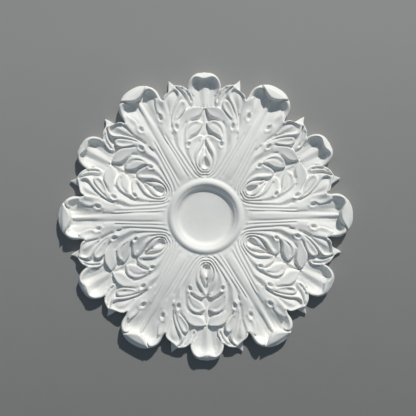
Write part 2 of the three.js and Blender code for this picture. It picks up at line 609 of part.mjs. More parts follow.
function meshHalfSector() {
  const ringRadii = RING_PROFILE.map(([r]) => r).slice(1);
  const domain = [[0, 0], ...OUTLINE];
  const fixed = [[0, 0]];
  for (let i = 0; i < RING_BEARINGS; i += 1) {
    fixed.push(...alongRay((i * HALF_SECTOR) / (RING_BEARINGS - 1), ringRadii));
  }
  fixed.push(...alongRay(0, AXIS_RADII), ...alongRay(HALF_SECTOR, AXIS_RADII), ...OUTLINE);

  const places = [];
  const bounds = [OUTLINE, [[0, 0], OUTLINE[0]], [[0, 0], OUTLINE[OUTLINE.length - 1]]];
  const offer = (u, v) => {
    const [outline, longAxis, shortAxis] = bounds.map((line) => distanceTo(line, u, v));
    const free = outline > OUTLINE_CLEARANCE && longAxis > AXIS_CLEARANCE && shortAxis > AXIS_CLEARANCE
      && Math.hypot(u, v) > RING_FOOT_RADIUS + RING_CLEARANCE;
    if (free && inside(domain, u, v)) places.push([u, v, faceHeight(u, v)]);
  };
  for (const line of carvingLines) {
    for (const [u, v] of resample(line, LINE_TEST_PITCH)) offer(u, v);
  }
  const rows = Math.ceil((LONG_TIP - RING_FOOT_RADIUS / 2) / TEST_PITCH);
  for (let row = 0; row < rows; row += 1) {
    const v = RING_FOOT_RADIUS / 2 + row * TEST_PITCH;
    const start = TEST_PITCH * (1 + ((row * ROW_SHIFT) % 1));
    for (let u = start; u < SHORT_TIP / 2; u += TEST_PITCH) offer(u, v);
  }
  const tin = new Triangulation(places);
  for (const [u, v, rim] of fixed) tin.insert(u, v, rim ?? faceHeight(u, v));
  const kept = () => [...tin.triangles.values()].filter(({ corners }) => {
    if (corners.some((i) => i < HULL.length)) return false;
    const [p, q, s] = corners.map((i) => tin.points[i]);
    const area = (q[0] - p[0]) * (s[1] - p[1]) - (q[1] - p[1]) * (s[0] - p[0]);
    return area > LEAST_AREA && inside(domain, (p[0] + q[0] + s[0]) / 3, (p[1] + q[1] + s[1]) / 3);
  });
  while (kept().length < TOP_TRIANGLES_PER_HALF_PETAL) {
    const place = tin.worstPlace();
    if (!place) break;
    tin.insert(place[0], place[1], place[2]);
  }
  return { points: tin.points, triangles: kept().map(({ corners }) => corners) };
}

// The drawing's u and v on the rose: the long petal's axis is turned to the given bearing
function placePoint([u, v, height], bearing, mirror) {
  const x = v * Math.cos(bearing) - mirror * u * Math.sin(bearing);
  const y = v * Math.sin(bearing) + mirror * u * Math.cos(bearing);
  return [x * PART, y * PART, height * PART];
}

function makeRose() {
  const { points, triangles } = meshHalfSector();
  const positions = [];
  const add = (corners, bearing, mirror) => {
    const ordered = mirror > 0 ? [...corners].reverse() : corners;
    for (const corner of ordered) positions.push(...placePoint(corner, bearing, mirror));
  };
  for (let pair = 0; pair < PETAL_PAIRS; pair += 1) {
    const bearing = (pair * 2 * Math.PI) / PETAL_PAIRS;
    for (const mirror of [1, -1]) {
      for (const corners of triangles) add(corners.map((i) => points[i]), bearing, mirror);
      for (let i = 0; i + 1 < OUTLINE.length; i += 1) {
        const [a, b] = [OUTLINE[i], OUTLINE[i + 1]];
        const [c, d] = [a, b].map(([u, v]) => [u * BACK_TUCK, v * BACK_TUCK, 0]);
        add([a, b, d], bearing, mirror);
        add([a, d, c], bearing, mirror);
        add([c, d, [0, 0, 0]], bearing, mirror);
      }
    }
  }
  const geometry = new THREE.BufferGeometry();
  geometry.setAttribute('position', new THREE.Float32BufferAttribute(positions, 3));
  return mergeVertices(geometry, WELD_DISTANCE);
}

const casting = new THREE.MeshStandardMaterial({
  color: FACE_COLOUR,
  roughness: FACE_ROUGHNESS,
  metalness: 0,
});
const rose = new THREE.Mesh(makeRose(), casting);
rose.name = 'ceiling_rose';

const model = new THREE.Group();
model.add(rose);
export default model;
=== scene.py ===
"""A cast plaster ceiling rose lying face up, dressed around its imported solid."""

import math

import bmesh
import bpy
import numpy as np
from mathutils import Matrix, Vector
from mathutils.geometry import delaunay_2d_cdt


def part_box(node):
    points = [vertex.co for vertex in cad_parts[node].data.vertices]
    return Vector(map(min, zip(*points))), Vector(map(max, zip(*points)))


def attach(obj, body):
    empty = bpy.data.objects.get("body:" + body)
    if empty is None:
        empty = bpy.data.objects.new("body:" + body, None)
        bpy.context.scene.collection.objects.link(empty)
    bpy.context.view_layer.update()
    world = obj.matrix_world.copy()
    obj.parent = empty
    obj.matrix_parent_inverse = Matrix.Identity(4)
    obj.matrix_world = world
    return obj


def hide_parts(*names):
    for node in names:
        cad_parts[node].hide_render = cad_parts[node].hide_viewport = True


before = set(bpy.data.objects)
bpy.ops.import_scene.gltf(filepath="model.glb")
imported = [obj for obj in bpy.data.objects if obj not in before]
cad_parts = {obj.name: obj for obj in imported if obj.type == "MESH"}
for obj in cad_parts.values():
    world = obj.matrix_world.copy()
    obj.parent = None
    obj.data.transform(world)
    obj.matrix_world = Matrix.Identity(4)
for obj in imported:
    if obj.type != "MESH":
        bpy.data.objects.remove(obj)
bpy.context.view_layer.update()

# Scale: the solid's own size sets the unit of the drawing, 147 parts from the centre to a long tip
NODE = "ceiling_rose"
NODE_LOW, NODE_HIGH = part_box(NODE)
PARTS_TO_TIP = 147.0
PART = (NODE_HIGH[0] - NODE_LOW[0]) / (2 * PARTS_TO_TIP)
PETAL_PAIRS = 6
HALF_SECTOR = math.pi / PETAL_PAIRS
TALLEST = 15.05

# Turned disc and ring: (radius, height), in parts
DISC_HEIGHT = 8.4
DISC_RADIUS = 24.4
RING_FOOT_RADIUS = 38.4
RING_FOOT_HEIGHT = 12.7
RING_PROFILE = [
    (0, DISC_HEIGHT), (DISC_RADIUS, DISC_HEIGHT), (25.6, 8.7), (26.8, 9.4), (27.6, 10.1), (28.5, 11.5),
    (29.4, 12.5), (30.3, 13.0), (31.2, 13.8), (32.2, 14.6), (33.6, 15.05), (35.1, 14.8), (36.6, 13.9),
    (37.7, 13.0), (RING_FOOT_RADIUS, RING_FOOT_HEIGHT),
]

# Lines of the carving: (across, along, height), in parts, on ridges, grooves, rims and feet of steps
LINES = {
    # stem and bowl of the long petal
    "stem_middle": [(0, 42, 13.4), (0, 47, 14.4), (0, 54, 14.9), (0, 64, 15), (0, 72, 14.8), (0, 80, 14.1),
                    (0, 90, 12.7), (0, 100, 11.3), (0, 110, 9.6), (0, 118, 7.9), (0, 124, 6.9),
                    (0, 129, 6.9), (0, 132.6, 8.2)],
    "stem_shoulder": [(2.5, 46, 14.1), (2.7, 54, 14.8), (2.7, 64, 14.9), (2.6, 72, 14.6), (2.3, 80, 14),
                      (1.9, 90, 12.6), (1.5, 100, 11.15), (1.2, 110, 9.3), (1, 120, 7.3), (0.9, 129, 6.6)],
    "stem_foot": [(5.3, 43, 13.1), (5, 50, 13.5), (4.7, 60, 13.8), (4.5, 70, 13.7), (4.2, 80, 13.1),
                  (3.9, 90, 11.9), (3.9, 97, 11), (3.9, 103, 9.8), (3.5, 109, 8.3), (3, 115, 6.9),
                  (2.6, 121, 5.7), (2.5, 127, 4.9), (2.5, 132.2, 4.9)],
    "bowl_floor": [(6.2, 112, 8.3), (6.4, 118, 7.1), (6.6, 124, 5.7), (6.8, 130, 4.5), (6.6, 134.4, 4.5)],
    "bowl_side": [(9.4, 114, 9), (9.8, 118, 8.7), (11, 121.8, 8.2), (12.8, 124.8, 7.8), (14.2, 127.8, 7.3),
                  (13.8, 131.2, 6.5), (11.6, 133.8, 5.9)],
    "bowl_ledge": [(16.8, 128, 8.6), (16.2, 130.2, 8.1), (14.8, 132.6, 7.6), (12.6, 134.8, 7.2)],
    "stem_ridge_1": [(7, 40.4, 13.4), (6.4, 47, 14.1), (6.1, 55, 14.4), (6, 65, 14.4), (5.7, 75, 14.2),
                     (5.4, 82, 13.8), (5.2, 88, 13.1), (5.6, 95, 12.2), (6.3, 101, 11.5)],
    "stem_groove_1": [(8.9, 39.2, 12.8), (7.9, 46, 13.3), (7.4, 53, 13.6), (7.2, 60, 13.7), (7, 68, 13.7),
                      (6.7, 76, 13.4), (6.4, 84, 12.8), (6.2, 90, 12.3)],
    "stem_ridge_2": [(12.6, 38, 13.3), (11, 42, 13.8), (10, 48, 14.2), (9.3, 55, 14.5), (9.1, 62, 14.6),
                     (8.8, 70, 14.4), (8.4, 78, 14.1), (8.5, 85, 13.6), (8.6, 91, 12.9), (8.8, 97, 12.3),
                     (10, 102, 11.8)],
    "stem_groove_2": [(15.4, 36.5, 12.4), (13.2, 40, 12.5), (12, 45.4, 12.9), (11.5, 51, 13.1),
                      (11.2, 57, 13.3), (11, 63, 13.4), (10.4, 69, 13.4), (10.1, 74, 13.2),
                      (10.7, 79, 12.6), (11.8, 84, 11.8), (12.9, 88, 11.1)],
    "stem_ridge_3": [(17.6, 35.4, 13.3), (15.4, 38.9, 13.5), (14.1, 44, 13.9), (13.6, 50, 14.2),
                     (13.3, 56, 14.4), (13.1, 63, 14.5), (12.7, 69, 14.4), (13, 74, 14.3), (14.6, 78, 14.1),
                     (16.8, 82, 13.9), (17.9, 85.5, 13.6), (17.6, 89, 13.2), (17.4, 92, 12.6),
                     (19.4, 95.4, 12), (22.8, 99.2, 11.4)],
    "stem_groove_3": [(20.8, 36.1, 12.3), (16.7, 37.6, 12.3), (15.2, 41, 12.5), (15.2, 47, 12.9),
                      (15, 53, 13.1), (14.7, 59, 13.2), (14.9, 64, 13), (15.6, 67.4, 12.6),
                      (16.5, 70.6, 12.1), (17.9, 73.6, 11.7), (19.7, 76.6, 11.2), (21.7, 79.6, 10.8),
                      (23.7, 82.6, 10.4), (26, 86, 10), (28.7, 88.9, 9.5), (31.6, 91.2, 9.1)],
    "stem_ridge_4": [(21.4, 37, 13.5), (18, 38.8, 13.5), (16.5, 43, 13.8), (16.5, 49, 14.1),
                     (16.8, 55, 14.3), (17.7, 60, 14.4), (18.9, 64, 14.5), (20.3, 67, 14.4)],
    "stem_groove_4": [(22, 38.1, 12.2), (19, 39.9, 12.2), (17.7, 44, 12.4), (17.8, 49, 12.7),
                      (18.8, 54, 12.8), (20.4, 58, 12.7), (23, 61.2, 12.2), (26.4, 63.9, 11.4),
                      (30, 66.1, 10.5), (33.4, 67.8, 9.8)],
    "third_leaf_crest": [(22.5, 39, 13.7), (20.1, 40.7, 13.7), (18.9, 44.6, 13.9), (19.1, 49, 14.1),
                         (20.7, 53, 14.3), (22.8, 56.6, 14.4), (25.2, 59.7, 14.3), (28.2, 62.2, 13.5),
                         (31.6, 64.6, 12.5), (35, 66.7, 11.5), (37.6, 68, 10.6)],
    "third_leaf_under_edge": [(24.2, 57.4, 13.9), (26.4, 59.4, 13.8), (29, 60.9, 13.4), (32, 62.8, 12.6),
                              (35, 65.2, 11.7), (37.7, 67.7, 10.8)],
    "third_leaf_under_foot": [(25, 56.6, 12), (27.2, 58.5, 10.8), (29.8, 59.8, 9.6), (32.7, 61.7, 8.8),
                              (35.6, 64.1, 8.3), (38.4, 66.8, 8)],
    "inner_groove": [(22.9, 39.7, 12.1), (20.9, 41.4, 12.1), (19.9, 45, 12.3), (20.4, 49.2, 12.5),
                     (22.3, 52.8, 12.3), (25, 55.4, 11.7), (28.2, 57.5, 10.7), (31.2, 59.2, 9.7)],
    "inner_leaf_crest": [(23.4, 40.6, 13.8), (21.9, 42.4, 13.8), (21.1, 45.4, 13.9), (21.8, 48.8, 14),
                         (24, 51.8, 13.9), (27, 53.9, 13.5), (30, 56, 12.8), (32.1, 58, 11.8),
                         (33.3, 60, 10.8)],
    # third leaf, upper lobe
    "third_lobe_crest": [(22.6, 72.3, 13.2), (25, 72, 13), (28.6, 72.4, 12.3), (32, 72.7, 11.5),
                         (35, 72.4, 10.8), (37.2, 71.2, 10.4), (38, 69.6, 10)],
    "third_lobe_middle": [(22, 66.6, 13.5), (24.6, 68, 12.7), (28, 69.2, 11.6), (32, 69.9, 10.8),
                          (35.6, 70, 10.2), (38, 69.6, 9.8)],
    "third_lobe_foot": [(23.4, 73.5, 11), (26, 74.2, 9.8), (30, 74.5, 8.4), (34, 74.4, 7.4),
                        (37, 73.4, 6.9), (39.4, 70.6, 6.9)],
    # second leaf, lower lobe
    "second_low_crest": [(20.8, 72.8, 13.5), (22.6, 75.6, 13.2), (24.2, 78.6, 12.8), (26.4, 82, 12.3),
                         (29.6, 85.2, 11.9), (33.2, 87.3, 11.7), (36.6, 88, 11.3), (39.6, 87.2, 10.8),
                         (42.4, 84.8, 10.1), (44.4, 82, 9.4)],
    "second_low_middle": [(24.2, 76.6, 12.9), (28.4, 80, 12.2), (33, 81.8, 11.5), (38, 82, 10.6),
                          (42, 81.8, 9.7)],
    "second_low_vein": [(24.6, 78.2, 12), (27.6, 81.8, 11.3), (31.4, 84.2, 10.8), (35.6, 85, 10.3),
                        (39.4, 84.2, 9.6)],
    "second_low_under": [(22.4, 73.4, 13.2), (24.6, 75.3, 12.9), (28, 76.6, 12.4), (32, 77, 11.6),
                         (36, 77, 10.9), (39.8, 78.3, 10.2), (42.8, 80.3, 9.7), (44.6, 81.8, 9.3)],
    "second_low_foot": [(25, 74.5, 10.6), (28.4, 75.7, 9.2), (32, 76.1, 8.2), (36.2, 76.1, 7.3),
                        (40.2, 77.4, 6.7), (43.4, 79.4, 6.3), (45.6, 81.4, 6.2)],
    "second_low_top_foot": [(34, 89.2, 9.4), (37, 89.2, 8.2), (40.2, 88.2, 6.8), (43.2, 86, 5.8),
                            (45.6, 83, 5.6)],
    "second_pit": [(40.8, 89.1, 6.8), (43.6, 87.8, 5.4), (46.6, 87.2, 5.2), (48.6, 88.2, 5.4)],
    # second leaf, upper lobe
    "second_high_top": [(24, 94.9, 10.7), (27.6, 95.9, 10.7), (31.2, 97.2, 10.8), (34.4, 99.2, 10.9),
                        (38, 100.6, 10.9), (42, 100.7, 10.7), (46, 99.5, 10.3), (49.6, 97.4, 9.7),
                        (52.6, 95, 8.9)],
    "second_high_middle": [(24.6, 91.6, 11.3), (29, 93.8, 10.6), (34, 94.8, 10.4), (40, 95.4, 10.2),
                           (46, 95.4, 9.7), (50, 95.2, 9.1)],
    "second_high_low": [(26.2, 89, 10.7), (29.4, 91, 10.3), (33, 92, 10.2), (37, 91.6, 10.1),
                        (41, 90.6, 9.9), (45, 90.2, 9.6), (49, 91.8, 9.2), (52.6, 95, 8.9)],
    "second_high_low_foot": [(38, 90.2, 8.4), (41.6, 89.4, 7.2), (45.4, 88.9, 6), (49.8, 90.4, 5.5),
                             (53.4, 93.6, 5.4)],
    "second_high_top_foot": [(36.4, 101.3, 8), (40, 101.9, 7), (44, 101.6, 6.3), (47.6, 99.8, 5.7),
                             (50.8, 97.6, 5.4), (53.4, 95.6, 5.3)],
    # first leaf, lower lobe
    "first_low_under": [(22, 95.6, 11.5), (25, 97.6, 11.3), (29, 99.3, 11.2), (33, 100.8, 11.2),
                        (36.4, 102.5, 11.3), (39, 104.9, 11.1), (40.5, 108.2, 10.2)],
    "first_low_foot": [(25.6, 96.6, 9.4), (29.4, 98.3, 8.6), (33.4, 99.8, 8.2), (37, 101.6, 7.6),
                       (39.9, 104.2, 6.6), (41.6, 107.4, 6), (41.5, 110.4, 5.8), (39.8, 112.4, 6.4)],
    "first_fold_groove": [(20.8, 98.6, 10.7), (22.6, 101, 10.2), (25.2, 103.7, 9.8), (28.6, 106.6, 9.6),
                          (32, 109.3, 9.4), (35.4, 111.4, 8.9), (38.6, 113, 7.2)],
    "first_low_top": [(22.8, 99.2, 11.4), (26.2, 102.8, 10.9), (29.8, 105.8, 10.8), (33.6, 108.8, 10.8),
                      (37, 110.7, 10.6), (39.6, 110.4, 10.3), (40.5, 108.2, 10.2)],
    "first_low_middle": [(27, 100.6, 10.3), (31, 102.7, 9.9), (34.8, 105, 9.4), (37.6, 107.6, 9.4)],
    "first_fold_ridge": [(17.6, 95.4, 11.8), (19.1, 98.2, 11.3), (20.9, 100.9, 11.1), (23.2, 103.8, 11.1),
                         (26.1, 106.8, 11.2), (29.2, 109.6, 11.4), (32.4, 112, 11.4), (35.8, 113.9, 11.2),
                         (38.6, 116.2, 11.2), (39.9, 119, 11), (39.8, 122, 10.5), (39, 125, 10.1),
                         (38.3, 127.3, 9.8)],
    "first_spoon_groove": [(14.9, 92.6, 10.7), (16.8, 96.6, 9.6), (18.6, 100, 9), (20.7, 103.4, 8.8),
                           (23.6, 106.7, 8.8), (26.9, 109.8, 8.8), (30.5, 112.8, 8.8), (34.1, 115.5, 8.5),
                           (36.9, 118, 8), (38, 120.7, 7.6), (37.6, 123, 7.9)],
    # first leaf, spoon and its side leaflet
    "spoon_stem": [(11.4, 84, 13.1), (12.9, 90.6, 12.3), (14.2, 95.6, 11.5), (16.1, 100, 11.2),
                   (17.8, 103.2, 11.1), (19, 106.4, 11.1), (20, 110, 11.3), (20.6, 113.4, 11.6),
                   (21, 116.6, 12.1), (21.3, 119.6, 12.8)],
    "spoon_left_groove": [(21.4, 107.6, 9.9), (22.3, 111.6, 9.9), (23.2, 115.6, 10.1), (24.3, 119, 10.4),
                          (26, 121.6, 10.5), (29, 123, 10.1), (32.6, 123.8, 9.2), (36, 124, 8.3),
                          (37.6, 123, 7.9)],
    "spoon_vein": [(22, 105.8, 10.1), (24.4, 110.2, 10.5), (26.6, 114.2, 11.1), (28.8, 117.8, 11.2),
                   (31.2, 121, 10.5)],
    "spoon_rim": [(22, 119.6, 12.9), (23, 121.4, 13.2), (25, 123, 13.2), (28, 124.4, 12.7),
                  (31.6, 125.2, 11.8), (35, 125.9, 10.8), (38.3, 127.3, 9.9)],
    "leaflet_edge": [(14.4, 104.6, 11.7), (14.1, 108, 11.2), (12.9, 111.4, 10.8), (12, 114.4, 10.5),
                     (12.4, 117.6, 10.3), (13.7, 121, 10.4), (15.3, 124, 10.7), (16.9, 126.4, 11.4)],
    "leaflet_foot": [(11.7, 111.6, 9.5), (11.1, 114.6, 9.2), (11.5, 117.8, 8.9), (12.8, 121.4, 8.5),
                     (14.5, 124.2, 8.4), (16, 126, 8.8)],
    "leaflet_middle": [(15.6, 113, 10.3), (16.2, 117, 10.2), (17.2, 121, 10.8)],
    # right fold of the first leaf
    "fold_floor": [(42.6, 104.4, 6.8), (43, 109, 6.4), (43, 114, 6.1), (42.4, 119, 6.1), (41.4, 123, 6.3),
                   (40.2, 126, 6.8)],
    "fold_rim": [(45.6, 103.6, 8), (48, 105.6, 7.9), (49.1, 109, 8.1), (49.4, 113, 8.5), (49.2, 117, 9.1),
                 (48, 120.6, 9.7), (45.6, 123.4, 9.9), (42.4, 125.8, 9.7), (39.6, 127.5, 9.2)],
    "fold_ridge": [(44.4, 105.6, 7.9), (45.3, 109, 8.1), (45.6, 113, 8.3), (45.3, 117, 8.7), (44, 121, 9),
                    (42.2, 124, 9)],
    "fold_slit": [(46.2, 106, 7), (47, 109, 6.5), (47.3, 112.5, 6.6), (47.1, 116, 7.2), (46, 119.6, 7.9),
                  (44.4, 122.4, 8.4)],
    "fold_outer_foot": [(45.4, 102, 6.6), (48.4, 104.2, 5.9), (50.2, 108, 5.6), (50.5, 112, 5.7),
                        (50.4, 114.4, 7.5)],
    # thorn behind the leaf tip
    "thorn_foot_left": [(31.4, 126.1, 8.2), (34.6, 127.2, 6.6), (38.2, 128.6, 6.2)],
    "thorn_ridge": [(37.2, 136.2, 3.2), (36.9, 132, 4.8), (36.8, 128.4, 6.4)],
    # lip of the long petal
    "long_lip_edge": [(0, 134.6, 14.7), (3, 135.1, 14.9), (6, 136.4, 14.9), (8.8, 138.1, 14.6),
                      (11.4, 140.1, 14), (14, 142, 12.7)],
    "long_lip_foot": [(0, 133.6, 6.6), (3.4, 134.1, 5.8), (6.7, 135.5, 5.8), (9.4, 137.2, 6.6)],
    "long_lip_nick": [(9.4, 137.2, 6.6), (11.6, 138.9, 8.6), (14.4, 140.7, 9.6), (16.6, 141, 9.4)],
    "long_lip_corner": [(11.2, 137.3, 11.4), (13, 138.4, 13.2), (15.4, 138.6, 14), (17.7, 136, 13.6),
                        (19, 132.8, 12.2), (19.5, 129, 11.2), (19.4, 125.4, 11.2), (19.9, 121.8, 12),
                        (20.9, 119.6, 12.5)],
    "long_wall_foot": [(12.2, 136.4, 8.6), (14.2, 135.6, 8.6), (16.2, 133, 8.6), (17.4, 129.6, 8.9),
                       (17.5, 126.6, 9.1)],
    "long_lip_roll": [(0, 141.6, 13.6), (5, 141.4, 13.6), (9.4, 141.6, 13.2), (12.6, 142.2, 12.4)],
    "long_rim_roll": [(17.6, 138.4, 12.8), (19.8, 134.8, 11.8), (20.6, 131.4, 10.6), (20.6, 127.2, 10.6)],
}

# The same on the short petal, given across and along its own axis
SHORT_LINES = {
    "short_rib": [(0, 62, 10.4), (0, 67, 9.5), (0, 72, 8.7), (0, 78, 8.0), (0, 84, 7.5), (0, 92, 7.1),
                  (0, 102, 7.0), (0, 112, 6.9), (0, 120, 6.4), (0, 127, 5.9), (0, 132, 5.9),
                  (0, 134.6, 6.8)],
    "short_rib_foot": [(3.8, 110, 6.2), (4.3, 115, 5.5), (5, 121, 4.7), (5.7, 127, 3.9), (6.2, 132, 3.5),
                       (6.4, 135.2, 4.4)],
    "short_bowl_middle": [(7.4, 111, 6.2), (8.8, 117, 5.7), (9.6, 124, 5.2), (9.6, 130, 4.8)],
    "short_lip_edge": [(0, 137, 12.5), (4, 138.1, 12.8), (7.8, 139.4, 12.7)],
    "short_lip_foot": [(0, 135.8, 7.4), (4.4, 136.8, 6.6), (8.2, 137.6, 7.4)],
    "short_lip_corner": [(7.8, 139.4, 12.7), (10.6, 138.4, 12.3), (13, 136, 11.6), (14.8, 132.8, 10.6),
                         (15.8, 129.8, 9.6), (16.3, 127.2, 9), (16.2, 124, 8.8)],
    "short_wall_foot": [(8.2, 137.6, 7.8), (10.2, 136, 8.6), (12, 133.6, 8.6), (13.3, 130.4, 8.3),
                        (13.8, 127, 8), (13.4, 123.2, 7.7)],
    "short_ledge_foot": [(11.2, 120.4, 6.8), (12.2, 124, 6.8), (12.4, 128, 6.7), (11.4, 131.8, 6.4),
                         (9.2, 134.6, 6)],
    "short_lip_roll": [(0, 141.4, 10.4), (4, 141.3, 10.4), (8.6, 140.8, 10.4), (12.2, 138.9, 10.1),
                       (15, 136, 9.7), (16.9, 132.6, 9), (17.6, 130, 8.6)],
}

# Outline of the half sector from the long to the short tip, with the rim's height, in smooth stretches
SHORT_TIP = 144.0
SHORT_TIP_PLACE = (SHORT_TIP * math.sin(HALF_SECTOR), SHORT_TIP * math.cos(HALF_SECTOR), 8.4)
OUTLINE_STRETCHES = [
    [(0, 147, 8.8), (5, 146.7, 8.8), (10, 145.4, 8.8), (15, 142.4, 8.8), (18, 139.6, 8.8),
     (20.4, 136, 8.8), (21.6, 132, 9.0), (21.5, 128, 9.8), (21.2, 124, 11.0), (22, 120.6, 12.0)],
    [(22, 120.6, 12.0), (24.5, 123.6, 11.6), (27, 125, 10.8), (31, 126.2, 7.8), (34.4, 132, 4.0),
     (37.2, 136.2, 3.0)],
    [(37.2, 136.2, 3.0), (38.4, 132.6, 4.0), (39.8, 129.2, 5.8), (42.4, 127.2, 7.4), (45.2, 125, 8.0),
     (47.6, 121.8, 8.2), (49.3, 118.6, 7.8)],
    [(49.3, 118.6, 7.8), (50.6, 121, 7.8), (52.8, 123.6, 7.8), (56, 126.1, 8.0), (61, 127.8, 8.2),
     (66, 127.3, 8.4), (69.6, 125.6, 8.4), SHORT_TIP_PLACE],
]

# Drilled eyes: centre across and along, half width, half length, lean in degrees, depth, collar's height
EYES = [
    (11.3, 107.5, 2.1, 3.3, 18, 3.2, 0.9),
    (20.4, 91.2, 1.9, 3.2, 24, 3.2, 0.8),
    (21.9, 70.3, 1.7, 2.7, 40, 3.0, 0.8),
    (46.9, 108.4, 0.9, 2.2, 4, 1.2, 0),
]
EYE_COLLAR_PLACE = 1.45
EYE_COLLAR_WIDTH = 0.35
EYE_SCOOP = 0.45
EYE_FLAT_SHARE = 0.35

# Drop-shaped hollow on the short petal's axis: (place along it, half width)
TEARDROP_WIDTHS = [
    (47, 0.1), (47.3, 1.9), (48.4, 3.7), (50.6, 4.6), (53.4, 4.1), (56.2, 2.8), (58.8, 1.4), (60.8, 0.2),
]
TEARDROP_CENTRE = 51.4
TEARDROP_DEPTH = 4.6
TEARDROP_SECTION = 0.7
TEARDROP_LENGTHWAYS = 0.6

# Straight pieces between two stations of a smooth line or table
LINE_PIECES = 6
TABLE_PIECES = 8

# Skin over the lines: its grid, how firmly the lines hold it, and how its folds are rounded
GRID_ACROSS = 384
GRID_LEVELS = 6
GRID_SWEEPS = 60
GRID_OUTER_RADIUS = 150.0
GRID_TOLERANCE = 1e-6
PIN_STEP = 0.12
LINE_PULL = 30.0
FIRST_HEIGHT = RING_FOOT_HEIGHT * 0.7
OVER_RELAXATION = 1.7
ROUNDING = 0.3
ROUNDING_PER_PASS = 0.2

# The carving is deepened against the mean height round it, which is taken over so many grid steps
CARVING_REACH = 18
CARVING_SPAN = 3 * CARVING_REACH
CARVING_LIMIT = 0.9
GROOVE_BOOST = 0.6
RIDGE_BOOST = 0.4

# Mesh of the half sector: steps along lines and least distances between points, in parts
LINE_STEP = 0.92
LINE_CLEARANCE = 0.4
FILL_STEP = 1.08
FILL_CLEARANCE = 0.76
FILL_FROM_RADIUS = RING_FOOT_RADIUS + 1
FLANK_CLEARANCE = 0.42
FLANK_GAPS = (0.95, 3.2)
FLANK_BESIDE = 0.7
BORDER_CLEARANCE = 0.5
RING_LINE_STEP = 1.7
RING_LINE_FEWEST = 4
RING_LINE_CLEARANCE = 0.3
RING_LINE_RADII = (
    24.4, 25.0, 25.6, 26.2, 26.8, 27.2, 27.6, 28.0, 28.5, 29.0, 29.4, 29.8, 30.3, 30.8, 31.2, 31.7, 32.2,
    32.9, 33.6, 34.4, 35.1, 35.9, 36.6, 37.2, 37.7, 38.4, 39.4,
)
EYE_LINE_SHARES = (1.0, 0.5, 1.5)
EYE_LINE_POINTS = 17
CELL_SIZE = 2.0
SAME_PLACE = 1e-5
WELD_METRES = 1e-6

# Wall under the rim: (place as a share of the rim's, share of its height), then rings on the flat back
BACK_TUCK = 0.991
RIM_WALL = [(0.9985, 0.62), (0.996, 0.3), (BACK_TUCK, 0.06), (BACK_TUCK - 0.003, 0.0)]
BACK_RINGS = (0.93, 0.55)

# Plaster: clouds of tone, swell and grain, with scales per metre
PLASTER_LIGHT = (0.85, 0.85, 0.82)
PLASTER_DARK = (0.78, 0.785, 0.765)
PLASTER_ROUGHNESS = 0.82
PLASTER_SPECULAR = 0.3
CLOUD_SCALE = 9.0
CLOUD_DETAIL = 4.0
CLOUD_SPAN = (0.35, 0.62)
GRAIN_SCALE = 900.0
GRAIN_DETAIL = 3.0
SWELL_SCALE = 60.0
SWELL_DETAIL = 2.0
SWELL_SHARE = 4.0
BUMP_STRENGTH = 0.25
BUMP_METRES = 0.0004

# Floor: painted light, a grey running from darker at -Y to lighter at +Y in place of the key light's fall
# over the floor, with faint clouds
FLOOR_GREY_PAINTED_SHADE = (0.205, 0.208, 0.204)
FLOOR_GREY_PAINTED_LIGHT = (0.305, 0.308, 0.302)
FLOOR_PAINTED_LIGHT_REACH = 0.42
FLOOR_ROUGHNESS = 0.6
FLOOR_CLOUD_SCALE = 14.0
FLOOR_CLOUD_DETAIL = 6.0
FLOOR_CLOUD_SHARE = 0.12
FLOOR_SIZE = 8.0

# Light
SUN_BEARING = math.radians(69)
SUN_HEIGHT = math.radians(37)
SUN_STRENGTH = 3.1
SUN_ANGLE = math.radians(2.0)
SUN_COLOUR = (1.0, 0.968, 0.925)
SKY_COLOUR = (0.56, 0.70, 0.84)
SKY_STRENGTH = 0.25

# Camera: the rose's centre and width in the photograph, in pixels, and its turn there in radians
IMAGE_PIXELS = 416
PHOTO_CENTRE = (205.6, 216.5)
PHOTO_SPAN_PIXELS = 294.0
PHOTO_ROLL = 0.0108
LENS_MM = 60.0
SENSOR_MM = 36.0


def ease(start, end, x):
    """A smooth step from 0 at the start to 1 at the end."""
    t = np.clip((x - start) / (end - start), 0, 1)
    return t * t * (3 - 2 * t)


def smooth_line(stations, pieces=LINE_PIECES):
    """A smooth line through the stations, with tangents weighted by the spacing."""
    rows = np.array(stations, float)
    gaps = np.hypot(*np.diff(rows[:, :2], axis=0).T) ** 0.5
    slopes = np.diff(rows, axis=0) / gaps[:, None]
    tangents = np.empty_like(rows)
    before, after = gaps[:-1, None], gaps[1:, None]
    tangents[1:-1] = (slopes[1:] * before + slopes[:-1] * after) / (before + after)
    tangents[0] = slopes[0]
    tangents[-1] = slopes[-1]
    t = (np.arange(pieces) / pieces)[:, None]
    spans = []
    for i, gap in enumerate(gaps):
        spans.append(
            (2 * t**3 - 3 * t**2 + 1) * rows[i]
            + (t**3 - 2 * t**2 + t) * gap * tangents[i]
            + (3 * t**2 - 2 * t**3) * rows[i + 1]
            + (t**3 - t**2) * gap * tangents[i + 1]
        )
    return np.concatenate(spans + [rows[-1:]])


def smooth_table(pairs, x):
    """A function of one variable, smooth through its (x, value) pairs."""
    line = smooth_line([(a, 0, b) for a, b in pairs], TABLE_PIECES)
    return np.interp(x, line[:, 0], line[:, 2])


def resample(path, step):
    """Points along a path at even steps, ends kept."""
    path = np.asarray(path, float)
    reach = np.concatenate([[0], np.cumsum(np.hypot(*np.diff(path[:, :2], axis=0).T))])
    count = max(int(round(reach[-1] / step)), 1)
    at = np.linspace(0, reach[-1], count + 1)
    return np.stack([np.interp(at, reach, path[:, k]) for k in range(path.shape[1])], axis=1)


def line_distance(u, v, path):
    """Distance of each place from a path."""
    path = np.asarray(path, float)
    best = np.full(u.shape, np.inf)
    for (au, av), (bu, bv) in zip(path[:-1, :2], path[1:, :2]):
        du, dv = bu - au, bv - av
        t = np.clip(((u - au) * du + (v - av) * dv) / (du * du + dv * dv), 0, 1)
        best = np.minimum(best, (u - au - t * du) ** 2 + (v - av - t * dv) ** 2)
    return np.sqrt(best)


